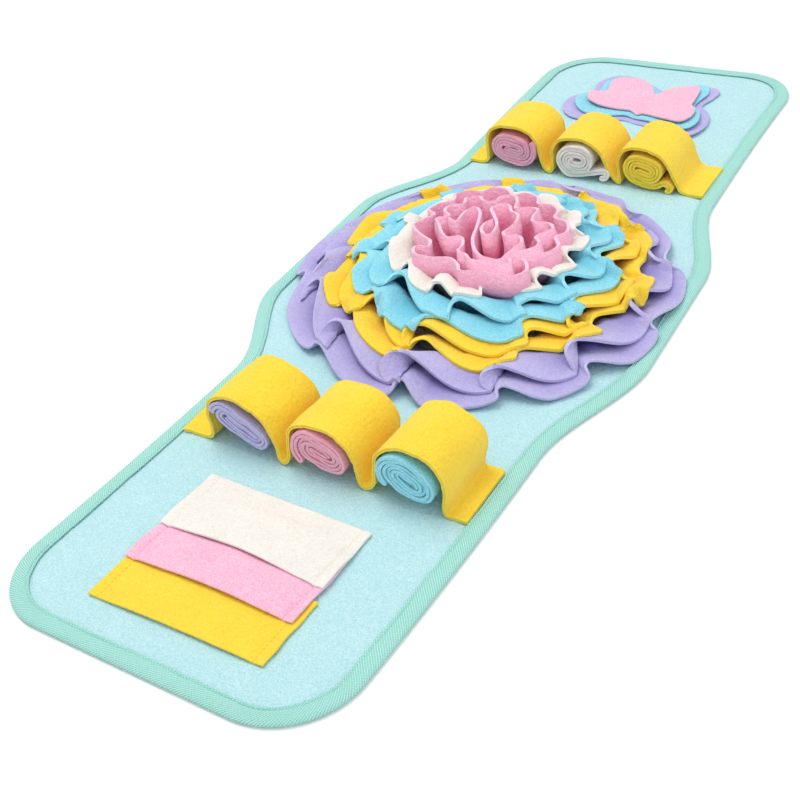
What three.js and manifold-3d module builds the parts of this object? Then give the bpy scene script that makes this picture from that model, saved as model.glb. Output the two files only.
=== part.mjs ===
// A snuffle mat for a dog or cat: a long fleece mat with a taped edge, three shingled treat pockets,
// two straps of three arches that hold fleece rolls, a gathered fleece flower and a stacked butterfly.
// Millimetres, +Z up.  The long axis is Y and the pocket end is towards -Y.  The origin is on the floor
// under the middle of the mat.

import * as THREE from 'three';
import { mergeVertices } from 'three/addons/utils/BufferGeometryUtils.js';
import Module from 'manifold-3d';

const wasm = await Module();
wasm.setup();

// Driving dimensions
const matLength = 900;
const middleHalfWidth = 172.8; // beside the flower, where both sides swell out
const cornerRadius = 57;
const endSway = 13.3;          // the two ends lie this far to opposite sides
const matThickness = 3;
const gap = 0.3;               // clearance between pieces that touch
const tapeWidth = 13;
const tapeThickness = 1;
const strapWidth = 54;
const strapThickness = 3.2;    // two plies of fleece
const fleece = 2;              // one ply
const rollLength = 60;
const flowerX = 6;
const flowerY = 8;
const ruffleThickness = 2.4;

// Each quarter of the mat has its own half width at the end and at the waist, and its side swells out
// between two distances from the middle.
const quarters = {
  nearLeft: { end: 137, waist: 131, swellFrom: 180, swellTo: 70 },
  nearRight: { end: 137, waist: 140, swellFrom: 180, swellTo: 55 },
  farLeft: { end: 131, waist: 121.5, swellFrom: 187, swellTo: 80 },
  farRight: { end: 134, waist: 140.5, swellFrom: 182, swellTo: 66 },
};

const restsOn = matThickness + gap;
const cornerStart = matLength / 2 - cornerRadius;

// ---------------------------------------------------------------- shape helpers

// Sideways shift of the mat as it lies, a slow S from end to end.
function sway(y) {
  return endSway * (y / (matLength / 2)) ** 3;
}

// Every piece is drawn on a straight mat, then laid along the S.
function lay(geometry) {
  const position = geometry.attributes.position;
  for (let i = 0; i < position.count; i += 1) {
    position.setX(i, position.getX(i) + sway(position.getY(i)));
  }
  return geometry;
}

// Half width of one quarter of the straight mat at a distance from the middle: an even taper from the
// corner to the waist, then a smooth swell.
function halfWidth({ end, waist, swellFrom, swellTo }, distance) {
  const taper = THREE.MathUtils.mapLinear(Math.max(distance, swellFrom), swellFrom, cornerStart, waist, end);
  const rise = THREE.MathUtils.smoothstep(swellFrom - distance, 0, swellFrom - swellTo);
  return THREE.MathUtils.lerp(taper, middleHalfWidth, rise);
}

// A quarter of the outline, from the middle of one end round its corner to the middle of one side.
function quarterOutline(quarter) {
  const points = [];
  const corner = new THREE.Vector2(quarter.end - cornerRadius, cornerStart);
  const cornerSteps = 6;
  points.push(new THREE.Vector2(0, matLength / 2));
  for (let i = 0; i <= cornerSteps; i += 1) {
    const angle = Math.PI / 2 * (1 - i / cornerSteps);
    const reach = new THREE.Vector2(Math.cos(angle), Math.sin(angle)).multiplyScalar(cornerRadius);
    points.push(reach.add(corner));
  }
  const addSide = (from, to, steps) => {
    for (let i = 1; i <= steps; i += 1) {
      const distance = THREE.MathUtils.lerp(from, to, i / steps);
      points.push(new THREE.Vector2(halfWidth(quarter, distance), distance));
    }
  };
  addSide(cornerStart, quarter.swellFrom, 2);
  addSide(quarter.swellFrom, quarter.swellTo, 7);
  return points;
}

// The whole outline, anticlockwise seen from above, moved inwards by a given distance.
function matOutline(inset) {
  const placed = (quarter, sideX, sideY) => (
    quarterOutline(quarter).map((p) => new THREE.Vector2(p.x * sideX, p.y * sideY))
  );
  const loop = [
    ...placed(quarters.farLeft, -1, 1),
    new THREE.Vector2(-middleHalfWidth, 0),
    ...placed(quarters.nearLeft, -1, -1).reverse(),
    ...placed(quarters.nearRight, 1, -1).slice(1),
    new THREE.Vector2(middleHalfWidth, 0),
    ...placed(quarters.farRight, 1, 1).reverse().slice(0, -1),
  ];
  return loop.map((point, i) => {
    const before = loop[(i + loop.length - 1) % loop.length];
    const after = loop[(i + 1) % loop.length];
    const along = after.clone().sub(before).normalize();
    return new THREE.Vector2(point.x - along.y * inset, point.y + along.x * inset);
  });
}

// A closed mesh from rings of equal length, each ring joined to the next and the last to the first.
function tubeOfRings(rings) {
  const size = rings[0].length;
  const vertices = rings.flat().flatMap((p) => [p.x, p.y, p.z]);
  const triangles = [];
  for (let r = 0; r < rings.length; r += 1) {
    const nextRing = (r + 1) % rings.length;
    for (let i = 0; i < size; i += 1) {
      const next = (i + 1) % size;
      const a = r * size + i;
      const b = r * size + next;
      const c = nextRing * size + next;
      const d = nextRing * size + i;
      triangles.push(a, b, c, a, c, d);
    }
  }
  return indexedGeometry(vertices, triangles);
}

function indexedGeometry(vertices, triangles) {
  const geometry = new THREE.BufferGeometry();
  geometry.setAttribute('position', new THREE.Float32BufferAttribute(vertices, 3));
  geometry.setIndex(triangles);
  return geometry;
}

// A flat outline given a height, standing on a level.
function slab(outline, level, height) {
  const shape = new THREE.Shape(outline);
  const geometry = new THREE.ExtrudeGeometry(shape, { depth: height, bevelEnabled: false });
  return geometry.translate(0, 0, level);
}

// An outline in the XZ plane, extruded along +Y from a starting place.
function slabAlongY(outline, startY, length) {
  const geometry = slab(outline, 0, length);
  geometry.rotateX(Math.PI / 2);
  return geometry.translate(0, startY + length, 0);
}

function toSolid(geometry) {
  const bare = geometry.clone();
  bare.deleteAttribute('normal');
  bare.deleteAttribute('uv');
  const merged = mergeVertices(bare, 1e-4);
  return new wasm.Manifold(new wasm.Mesh({
    numProp: 3,
    vertProperties: merged.attributes.position.array,
    triVerts: new Uint32Array(merged.index.array),
  }));
}

function toGeometry(solid) {
  const mesh = solid.getMesh();
  return indexedGeometry(Array.from(mesh.vertProperties), Array.from(mesh.triVerts));
}

// A ribbon of even thickness about a centre line of points in a plane, as a closed outline.
function ribbonOutline(line, thickness) {
  const offset = (side) => line.map((point, i) => {
    const before = line[Math.max(i - 1, 0)];
    const after = line[Math.min(i + 1, line.length - 1)];
    const along = after.clone().sub(before).normalize();
    const shift = side * thickness / 2;
    return new THREE.Vector2(point.x - along.y * shift, point.y + along.x * shift);
  });
  return [...offset(-1), ...offset(1).reverse()];
}

// ---------------------------------------------------------------- mat and its taped edge

// The fleece panel.  Its margin is pressed thin where the tape is stitched round it.
function basePanel() {
  const edgeInset = tapeThickness + gap;
  const core = slab(matOutline(tapeWidth + gap), 0, matThickness);
  const marginLevel = tapeThickness + gap;
  const margin = slab(matOutline(edgeInset), marginLevel, matThickness - marginLevel);
  return lay(toGeometry(toSolid(core).add(toSolid(margin))));
}

// The tape is a channel section: upper leg, rounded outer edge, lower leg.
function edgeBinding() {
  const top = restsOn + tapeThickness;
  const section = [
    [0, 1.4],
    [0, top - 1.4],
    [1.2, top],
    [tapeWidth, top],
    [tapeWidth, restsOn],
    [tapeThickness, restsOn],
    [tapeThickness, tapeThickness],
    [tapeWidth, tapeThickness],
    [tapeWidth, 0],
    [1.2, 0],
  ];
  const rings = section.map(([inset, z]) => matOutline(inset).map((p) => new THREE.Vector3(p.x, p.y, z)));
  return lay(tubeOfRings(rings));
}

// ---------------------------------------------------------------- pockets

const pocketCentreX = 3;
const pocketWidth = 141;

// Each pocket strip overlaps the one nearer the end.  A side view gives its height along the mat, and
// it is puffed up a little between the side seams at its free edge.
const pockets = {
  yellow: { nearY: -413, line: [[0, 0], [20, 0], [40, 0], [56, 0]], puff: 1.2 },
  pink: { nearY: -379, line: [[0, 3.6], [14, 3.2], [24, 2.6], [36, 0], [56, 0]], puff: 1.6 },
  white: { nearY: -346, line: [[0, 3.6], [14, 3.2], [26, 2.4], [38, 0], [55, 0]], puff: 1.8 },
};

// A cloth that spans X between its side seams, with its height read from a side view.
function pocketStrip({ nearY, line, puff }) {
  const across = 8;
  const grid = (lift) => line.map(([y, z], row) => {
    const points = [];
    for (let i = 0; i <= across; i += 1) {
      const u = i / across;
      const swell = puff * Math.sin(Math.PI * u) * Math.max(1 - row / 2, 0);
      const bow = -2.5 * Math.sin(Math.PI * u) * Math.max(1 - row / 2, 0);
      const x = pocketCentreX + pocketWidth * (u - 0.5);
      points.push(new THREE.Vector3(x, nearY + y + bow, restsOn + z + swell + lift));
    }
    return points;
  });
  const upper = grid(fleece);
  const lower = grid(0);
  const rings = upper.map((row, i) => [...row, ...lower[i].slice().reverse()]);
  return lay(cappedRings(rings));
}

// Rings of points joined in order, with the first and the last one filled in as a ladder of faces.
function cappedRings(rings) {
  const size = rings[0].length;
  const vertices = rings.flat().flatMap((p) => [p.x, p.y, p.z]);
  const triangles = [];
  for (let r = 0; r + 1 < rings.length; r += 1) {
    for (let i = 0; i < size; i += 1) {
      const next = (i + 1) % size;
      const a = r * size + i;
      const b = r * size + next;
      const c = (r + 1) * size + next;
      const d = (r + 1) * size + i;
      triangles.push(a, b, c, a, c, d);
    }
  }
  const last = (rings.length - 1) * size;
  for (let i = 0; i + 1 < size / 2; i += 1) {
    const a = i;
    const b = i + 1;
    const c = size - 2 - i;
    const d = size - 1 - i;
    triangles.push(a, c, b, a, d, c);
    triangles.push(last + a, last + b, last + c, last + a, last + c, last + d);
  }
  return indexedGeometry(vertices, triangles);
}

// ---------------------------------------------------------------- straps and rolls

// Each arch is given by its two legs, the height of its crown and how far the crown leans over.
const nearStrap = {
  frontY: -257,
  leftQuarter: 'nearLeft',
  rightQuarter: 'nearRight',
  arches: [
    { left: -87, right: -33, crown: 52.4, lean: -3 },
    { left: -16.5, right: 36.3, crown: 49.5, lean: 3 },
    { left: 55.5, right: 109, crown: 54, lean: 0 },
  ],
};
const farStrap = {
  frontY: 188,
  leftQuarter: 'farLeft',
  rightQuarter: 'farRight',
  arches: [
    { left: -88, right: -34, crown: 46.5, lean: -2 },
    { left: -19.5, right: 35.5, crown: 44, lean: -5 },
    { left: 46.5, right: 101, crown: 44, lean: -4 },
  ],
};
const strapLevel = restsOn + strapThickness / 2;   // centre line of a strap lying on the mat
const legFoot = 13;                                // height at which a leg turns in to the seam
const tailClearance = 1;                           // from the end of a tail to the tape

// Half superellipse from the left leg over the crown to the right leg.
function archLine({ left, right, crown, lean }) {
  const steps = 12;
  const squareness = 0.78;
  const middle = (left + right) / 2;
  const half = (right - left) / 2;
  const points = [];
  for (let i = 0; i <= steps; i += 1) {
    const angle = Math.PI * (1 - i / steps);
    const sideways = Math.sign(Math.cos(angle)) * Math.abs(Math.cos(angle)) ** squareness;
    const rise = Math.sin(angle) ** squareness;
    const x = middle + half * sideways + lean * rise;
    points.push(new THREE.Vector2(x, legFoot + (crown - legFoot) * rise));
  }
  return points;
}

// How far a tail reaches: up to the tape where the mat is narrowest under the strap.
function tailEnd(quarter, frontY) {
  const edges = [frontY, frontY + strapWidth].map((y) => halfWidth(quarters[quarter], Math.abs(y)));
  return Math.min(...edges) - tapeWidth - tailClearance;
}

// The strap runs flat from the tape, over three arches that are seamed down between, and flat again.
function strapLine({ frontY, arches, leftQuarter, rightQuarter }) {
  const line = [];
  line.push(new THREE.Vector2(-tailEnd(leftQuarter, frontY), strapLevel));
  line.push(new THREE.Vector2(arches[0].left - 9, strapLevel));
  line.push(new THREE.Vector2(arches[0].left - 3, strapLevel + 2.6));
  arches.forEach((arch, i) => {
    line.push(...archLine(arch));
    const next = arches[i + 1];
    if (next) {
      const seam = (arch.right + next.left) / 2;
      line.push(new THREE.Vector2(seam - 3.6, strapLevel + 1.6));
      line.push(new THREE.Vector2(seam, strapLevel));
      line.push(new THREE.Vector2(seam + 3.6, strapLevel + 1.6));
    }
  });
  const lastRight = arches[arches.length - 1].right;
  line.push(new THREE.Vector2(lastRight + 3, strapLevel + 2.6));
  line.push(new THREE.Vector2(lastRight + 9, strapLevel));
  line.push(new THREE.Vector2(tailEnd(rightQuarter, frontY), strapLevel));
  return line;
}

function loopStrip(strap) {
  return lay(slabAlongY(ribbonOutline(strapLine(strap), strapThickness), strap.frontY, strapWidth));
}

// A roll of fleece seen end on: an oval that steps in by one ply where the cloth ends.
function rollOutline({ x, width, height, tilt, lapAt }) {
  const steps = 26;
  const points = [];
  for (let i = 0; i <= steps; i += 1) {
    const turn = i / steps;
    const angle = lapAt + turn * Math.PI * 2;
    const ply = fleece * (1 - turn);
    const flat = new THREE.Vector2(
      (width / 2 - ply) * Math.cos(angle),
      (height / 2 - ply) * Math.sin(angle),
    );
    points.push(flat.rotateAround(new THREE.Vector2(0, 0), tilt));
  }
  const lowest = Math.min(...points.map((p) => p.y));
  return points.map((p) => new THREE.Vector2(p.x + x, p.y - lowest + restsOn));
}

const rolls = {
  near_roll_lilac: { strap: nearStrap, x: -61, width: 48, height: 44.5, tilt: -0.2, lapAt: 1.2 },
  near_roll_pink: { strap: nearStrap, x: 10.4, width: 47, height: 43.6, tilt: -0.1, lapAt: 2.4 },
  near_roll_blue: { strap: nearStrap, x: 82.2, width: 47.6, height: 48.6, tilt: 0, lapAt: 3.6 },
  far_roll_rose: { strap: farStrap, x: -61.2, width: 48.4, height: 42, tilt: 0, lapAt: 4.6 },
  far_roll_white: { strap: farStrap, x: 3, width: 42, height: 40, tilt: 0, lapAt: 5.4, tail: 9 },
  far_roll_yellow: { strap: farStrap, x: 69, width: 42, height: 39.5, tilt: 0, lapAt: 5.4, tail: 9 },
};

function fleeceRoll({ strap, tail, ...oval }) {
  const frontY = strap.frontY - (rollLength - strapWidth) / 2;
  const body = slabAlongY(rollOutline(oval), frontY, rollLength);
  if (!tail) {
    return lay(body);
  }
  const reach = oval.x + oval.width / 2 + tail;
  const tongue = [
    new THREE.Vector2(oval.x, restsOn),
    new THREE.Vector2(reach, restsOn),
    new THREE.Vector2(reach, restsOn + fleece),
    new THREE.Vector2(oval.x + oval.width * 0.3, restsOn + fleece * 2),
  ];
  return lay(toGeometry(toSolid(body).add(toSolid(slabAlongY(tongue, frontY, rollLength)))));
}

// ---------------------------------------------------------------- flower

// Each gathered strip is sewn down on a circle and flares out over the strip below.  Its profile is
// three places from the seam to the free edge: [distance from the flower's middle, height].  All strips
// lie in the same deep folds, and each has slighter ones of its own.  The reach is how far the purple
// strips spread towards the near left, and draw in on the other side.
const ruffles = {
  ruffle_purple_lower: {
    profile: [[127, 5], [142, 13], [161, 13]], steps: 60, folds: 13, phase: 0.3, reach: 9,
  },
  ruffle_purple_upper: {
    profile: [[114, 5], [130, 18.5], [151, 21]], steps: 60, folds: 11, phase: 1.9, reach: 7,
  },
  ruffle_yellow_lower: { profile: [[101, 5], [116, 24.5], [139, 27.5]], steps: 60, folds: 11, phase: 0.8 },
  ruffle_yellow_upper: { profile: [[89, 5], [103, 29.5], [129, 34.5]], steps: 54, folds: 9, phase: 2.6 },
  ruffle_blue_lower: { profile: [[76, 5], [89, 33.5], [113, 40.5]], steps: 48, folds: 9, phase: 1.2 },
  ruffle_blue_upper: { profile: [[64, 5], [77, 38.5], [103, 47]], steps: 44, folds: 8, phase: 3.1 },
  ruffle_white: { profile: [[51, 5], [63, 41.5], [90, 52]], steps: 40, folds: 9, phase: 0.5 },
  ruffle_pink_outer: { profile: [[38, 5], [47, 42.5], [70, 57]], steps: 36, folds: 8, phase: 2.2 },
  ruffle_pink_inner: { profile: [[26, 5], [31, 43], [46, 60]], steps: 30, folds: 7, phase: 0.9 },
  ruffle_pink_heart: { profile: [[13, 5], [16, 40], [25, 61]], steps: 24, folds: 5, phase: 1.4 },
};
const reachTowards = 250 / 180 * Math.PI;
const commonFolds = 10;
const commonDepth = 6;
const ownDepth = 1.7;

// Lengthwise wave of a fold and a slower one that makes neighbouring folds unlike each other.
function foldWave(angle, folds, phase) {
  const slow = 0.3 * Math.sin(2 * angle + phase) + 0.25 * Math.sin(3 * angle - phase);
  return Math.sin(folds * angle + phase + slow) * (0.8 + slow * 0.6);
}

// A point on a ruffle's centre sheet, t = 0 at the seam, 0.5 at the shoulder and 1 at the free edge.
function rufflePoint(ruffle, angle, t) {
  const [seam, shoulder, edge] = ruffle.profile;
  const [from, to] = t <= 0.5 ? [seam, shoulder] : [shoulder, edge];
  const share = t <= 0.5 ? t * 2 : t * 2 - 1;
  const radius = from[0] + (to[0] - from[0]) * share;
  const height = from[1] + (to[1] - from[1]) * share;
  const spread = THREE.MathUtils.smoothstep(radius, 20, 135);
  const common = foldWave(angle, commonFolds, 0.4) * commonDepth * spread;
  const own = foldWave(angle, ruffle.folds, ruffle.phase) * ownDepth;
  const lean = foldWave(angle + 0.5 / commonFolds, commonFolds, 0.4) * commonDepth * spread;
  const open = Math.max(t - 0.25, 0) / 0.75;
  const turned = angle + lean * open * 0.5 / radius;
  const reach = (ruffle.reach ?? 0) * Math.cos(angle - reachTowards);
  const out = radius + (common * 0.4 + own + reach) * open;
  return new THREE.Vector3(
    flowerX + out * Math.cos(turned),
    flowerY + out * Math.sin(turned),
    height + (common + own) * open,
  );
}

// The sheet's two faces at a point, half a thickness to each side along its normal.
function ruffleFaces(ruffle, angle, t) {
  const step = 0.01;
  const here = rufflePoint(ruffle, angle, t);
  const round = rufflePoint(ruffle, angle + step, t).sub(rufflePoint(ruffle, angle - step, t));
  const outwards = rufflePoint(ruffle, angle, Math.min(t + step, 1));
  outwards.sub(rufflePoint(ruffle, angle, Math.max(t - step, 0)));
  const normal = outwards.cross(round).normalize().multiplyScalar(ruffleThickness / 2);
  return { upper: here.clone().add(normal), lower: here.clone().sub(normal) };
}

// Rings from the seam out along the upper face and back along the lower one.
function ruffleSheet(ruffle) {
  const stations = [0, 0.5, 1];
  const rows = stations.map((t) => {
    const ring = [];
    for (let i = 0; i < ruffle.steps; i += 1) {
      ring.push(ruffleFaces(ruffle, i / ruffle.steps * Math.PI * 2, t));
    }
    return ring;
  });
  const upper = rows.map((ring) => ring.map((faces) => faces.upper));
  const lower = rows.map((ring) => ring.map((faces) => faces.lower));
  return lay(tubeOfRings([...lower, ...upper.reverse()]));
}

// ---------------------------------------------------------------- butterfly

const butterflyX = 10;
const butterflyY = 346;
const butterflyTurn = -0.07;
// Half of the smallest butterfly, from the notch between the upper wings to the notch between the lower.
const wingPoints = [
  [0, 20], [9, 33], [22, 41], [38, 43], [47, 34], [48, 15],
  [43, 3], [54, -4], [60, -16], [55, -30], [40, -34], [22, -29], [8, -24], [0, -27],
];

function butterflyOutline(scale) {
  const right = wingPoints.map(([x, y]) => new THREE.Vector3(x, y, 0));
  const left = right.slice(1, -1).reverse().map((p) => new THREE.Vector3(-p.x, p.y, 0));
  const curve = new THREE.CatmullRomCurve3([...right, ...left], true, 'centripetal');
  const steps = 52;
  const points = [];
  for (let i = 0; i < steps; i += 1) {
    const point = curve.getPoint(i / steps);
    const flat = new THREE.Vector2(point.x * scale, point.y * scale);
    flat.rotateAround(new THREE.Vector2(0, 0), butterflyTurn);
    points.push(new THREE.Vector2(flat.x + butterflyX, flat.y + butterflyY));
  }
  return points;
}

const butterflies = {
  butterfly_purple: { scale: 1.38, layer: 0 },
  butterfly_blue: { scale: 1.2, layer: 1 },
  butterfly_pink: { scale: 1, layer: 2 },
};

function butterflyLayer({ scale, layer }) {
  const level = restsOn + layer * (fleece + gap);
  return lay(slab(butterflyOutline(scale), level, fleece));
}

// ---------------------------------------------------------------- assembly

const colours = {
  aqua: '#bfe6ea',
  mint: '#9de0d4',
  white: '#f7f3ec',
  pink: '#f8b6dc',
  rose: '#e7a7c9',
  yellow: '#fde04a',
  purple: '#b3a6ea',
  blue: '#8fdcee',
};

const mat = new THREE.Group();

function addPiece(name, geometry, colour, roughness = 0.95) {
  const material = new THREE.MeshStandardMaterial({ color: colours[colour], roughness, metalness: 0 });
  const mesh = new THREE.Mesh(geometry, material);
  mesh.name = name;
  mat.add(mesh);
}

addPiece('base_panel', basePanel(), 'aqua');
addPiece('edge_binding', edgeBinding(), 'mint', 0.8);
for (const [colour, pocket] of Object.entries(pockets)) {
  addPiece(`pocket_${colour}`, pocketStrip(pocket), colour);
}
addPiece('near_loop_strip', loopStrip(nearStrap), 'yellow');
addPiece('far_loop_strip', loopStrip(farStrap), 'yellow');
for (const [name, roll] of Object.entries(rolls)) {
  const colour = name.split('_')[2];
  addPiece(name, fleeceRoll(roll), colour === 'lilac' ? 'purple' : colour);
}
for (const [name, ruffle] of Object.entries(ruffles)) {
  addPiece(name, ruffleSheet(ruffle), name.split('_')[1]);
}
for (const [name, butterfly] of Object.entries(butterflies)) {
  addPiece(name, butterflyLayer(butterfly), name.split('_')[1]);
}

export default mat;
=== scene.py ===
# A fleece snuffle mat: the looks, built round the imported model.
# Lengths in the dictionaries are millimetres, and meshes are written in metres.
import math

import bpy
import numpy as np
from mathutils import Matrix, Vector


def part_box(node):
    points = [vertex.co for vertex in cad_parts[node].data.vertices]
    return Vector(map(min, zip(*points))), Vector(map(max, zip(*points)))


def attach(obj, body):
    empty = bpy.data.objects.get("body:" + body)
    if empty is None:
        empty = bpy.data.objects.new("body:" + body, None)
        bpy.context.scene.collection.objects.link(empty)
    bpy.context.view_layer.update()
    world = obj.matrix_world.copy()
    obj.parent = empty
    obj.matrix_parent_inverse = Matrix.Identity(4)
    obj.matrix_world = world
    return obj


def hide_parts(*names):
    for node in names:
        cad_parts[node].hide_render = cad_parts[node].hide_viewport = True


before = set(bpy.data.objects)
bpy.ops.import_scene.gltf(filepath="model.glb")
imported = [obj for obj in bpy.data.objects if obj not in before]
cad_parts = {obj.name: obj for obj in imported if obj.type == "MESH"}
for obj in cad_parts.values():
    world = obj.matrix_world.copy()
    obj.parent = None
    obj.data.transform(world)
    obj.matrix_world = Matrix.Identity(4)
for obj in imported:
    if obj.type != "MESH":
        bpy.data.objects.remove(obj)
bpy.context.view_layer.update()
mm = 0.001

# The mat's own measures, read from the frame where it has them.
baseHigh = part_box("base_panel")[1]
tapeLow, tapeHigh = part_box("edge_binding")
mat = dict(
    length=(tapeHigh.y - tapeLow.y) / mm,
    top=baseHigh.z / mm,          # upper face of the fleece panel
    middle=(tapeHigh.x - tapeLow.x) / mm / 2,   # half width beside the flower
    corner=57.0,
    sway=13.3,                    # sideways shift of the two ends
    tapeWidth=13.0,
)
halfLength = mat["length"] / 2
cornerStart = halfLength - mat["corner"]
# Each quarter, near one first, has its own half width at the end and at the waist, and its side swells out
# between two distances from the middle.
quarters = dict(
    left=(
        dict(end=137.0, waist=131.0, swellFrom=180.0, swellTo=70.0),
        dict(end=131.0, waist=121.5, swellFrom=187.0, swellTo=80.0),
    ),
    right=(
        dict(end=137.0, waist=140.0, swellFrom=180.0, swellTo=55.0),
        dict(end=134.0, waist=140.5, swellFrom=182.0, swellTo=66.0),
    ),
)


# Numbers and curves.

def smoothStep(x):
    x = np.clip(x, 0.0, 1.0)
    return x * x * (3 - 2 * x)


def softMax(x, width):            # follows x where x is large and settles at 0 below, with no crease
    return width * np.logaddexp(0.0, x / width)


def wander(u, seed, lowest=1.0, waves=5):   # a sum of sines whose phases come from a seed, about -1 to 1
    rng = np.random.default_rng(seed)
    total = np.zeros_like(np.asarray(u, float))
    for k in range(waves):
        total += np.sin(2 * np.pi * lowest * (k + 1) * u + rng.uniform(0, 2 * np.pi)) / (k + 1) ** 0.7
    return total / 2.2


def lumps(x, y, seed, size, waves=9):       # plane waves in seeded directions, about -1 to 1
    rng = np.random.default_rng(seed)
    total = np.zeros(np.broadcast(x, y).shape)
    for k in range(waves):
        turn, phase = rng.uniform(0, 2 * np.pi, 2)
        length = size * rng.uniform(0.6, 1.6)
        total += np.sin(2 * np.pi * (x * math.cos(turn) + y * math.sin(turn)) / length + phase)
    return total / math.sqrt(waves) / 1.4


def smoothCurve(points, perSpan=12, closed=False):   # Catmull-Rom cubic through given points
    p = np.asarray(points, float)
    if closed:
        p = np.vstack([p[-1:], p, p[:2]])
    else:
        p = np.vstack([2 * p[:1] - p[1:2], p, 2 * p[-1:] - p[-2:-1]])
    t = np.arange(perSpan)[None, :, None] / perSpan
    a, b, c, d = (p[i:len(p) - 3 + i][:, None, :] for i in range(4))
    square = 2 * a - 5 * b + 4 * c - d
    cube = 3 * b - a - 3 * c + d
    curve = 0.5 * (2 * b + (c - a) * t + square * t ** 2 + cube * t ** 3)
    curve = curve.reshape(-1, p.shape[1])
    return curve if closed else np.vstack([curve, p[-2:-1]])


def evenly(line, count):                    # the same line with points at equal distances
    along = np.concatenate([[0], np.cumsum(np.linalg.norm(np.diff(line, axis=0), axis=1))])
    at = np.linspace(0, along[-1], count)
    return np.stack([np.interp(at, along, line[:, k]) for k in range(line.shape[1])], 1), along[-1]


def sway(y):                                # a slow S from end to end
    return mat["sway"] * (y / halfLength) ** 3


def layOnMat(points):                       # a piece drawn on a straight mat is laid along the S
    laid = np.array(points, float)
    laid[..., 0] += sway(laid[..., 1])
    return laid


def halfWidth(side, y):
    # An even taper from the corner to the waist, then a smooth swell; the corners come later.
    away = np.abs(y)
    widths = []
    for quarter in quarters[side]:
        taper = np.clip((away - quarter["swellFrom"]) / (cornerStart - quarter["swellFrom"]), 0, None)
        rise = smoothStep((quarter["swellFrom"] - away) / (quarter["swellFrom"] - quarter["swellTo"]))
        straight = quarter["waist"] + taper * (quarter["end"] - quarter["waist"])
        widths.append(straight + (mat["middle"] - straight) * rise)
    return np.where(y < 0, widths[0], widths[1])


# Meshes.

def addObject(name, vertices, faces, uv=None, attributes=None):
    mesh = bpy.data.meshes.new(name)
    corners = faces if isinstance(faces, list) else faces.tolist()
    mesh.from_pydata((np.asarray(vertices).reshape(-1, 3) * mm).tolist(), [], corners)
    mesh.polygons.foreach_set("use_smooth", np.ones(len(mesh.polygons), bool))
    if uv is not None:
        layer = mesh.uv_layers.new(name="cloth")
        layer.data.foreach_set("uv", (np.asarray(uv).reshape(-1, 2) * mm).ravel())
    for key, values in (attributes or {}).items():
        layer = mesh.attributes.new(key, "FLOAT", "POINT")
        layer.data.foreach_set("value", np.asarray(values, np.float32).ravel())
    mesh.update()
    obj = bpy.data.objects.new(name, mesh)
    bpy.context.scene.collection.objects.link(obj)
    return obj


def camelName(node):                        # a piece is named after its node
    return "".join(part.capitalize() if i else part for i, part in enumerate(node.split("_")))


def gridFaces(rows, columns, wrap=False):   # quads between neighbours of a grid of points
    i = np.arange(rows if wrap else rows - 1)[:, None]
    j = np.arange(columns - 1)[None, :]
    nextRow = (i + 1) % rows
    corners = [i * columns + j, nextRow * columns + j, nextRow * columns + j + 1, i * columns + j + 1]
    return np.stack(np.broadcast_arrays(*corners), -1).reshape(-1, 4)


def gridObject(name, points, u, v, wrap=False, attributes=None):
    # points[i, j] lies at cloth coordinates u[i], v[j]; when wrapped, u has one more value than points
    rows, columns = points.shape[:2]
    faces = gridFaces(rows, columns, wrap)
    i = np.repeat(np.arange(rows if wrap else rows - 1), columns - 1)
    j = np.tile(np.arange(columns - 1), rows if wrap else rows - 1)
    uv = np.stack([
        np.stack([u[i], v[j]], -1), np.stack([u[i + 1], v[j]], -1),
        np.stack([u[i + 1], v[j + 1]], -1), np.stack([u[i], v[j + 1]], -1),
    ], 1)
    return addObject(name, points, faces, uv, attributes)


def thicken(obj, thickness, offset=0.0, rounding=0.6):
    solid = obj.modifiers.new("thickness", "SOLIDIFY")
    solid.thickness = thickness * mm
    solid.offset = offset
    solid.material_offset_rim = 1
    if rounding:
        bevel = obj.modifiers.new("rounded edge", "BEVEL")
        bevel.width = rounding * mm
        bevel.segments = 2
        bevel.limit_method = "ANGLE"
        bevel.angle_limit = math.radians(55)
        bevel.harden_normals = False


def finishPiece(obj, materials, slot, *nodes):
    for material in materials:
        obj.data.materials.append(material)
    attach(obj, "root")
    if nodes:
        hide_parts(*nodes)
    return obj


# A row of short thread stitches along a path: each is a squashed six-sided capsule.
stitch = dict(length=2.6, pitch=3.3, width=0.7, height=0.5, rings=5, sides=6)


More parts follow.
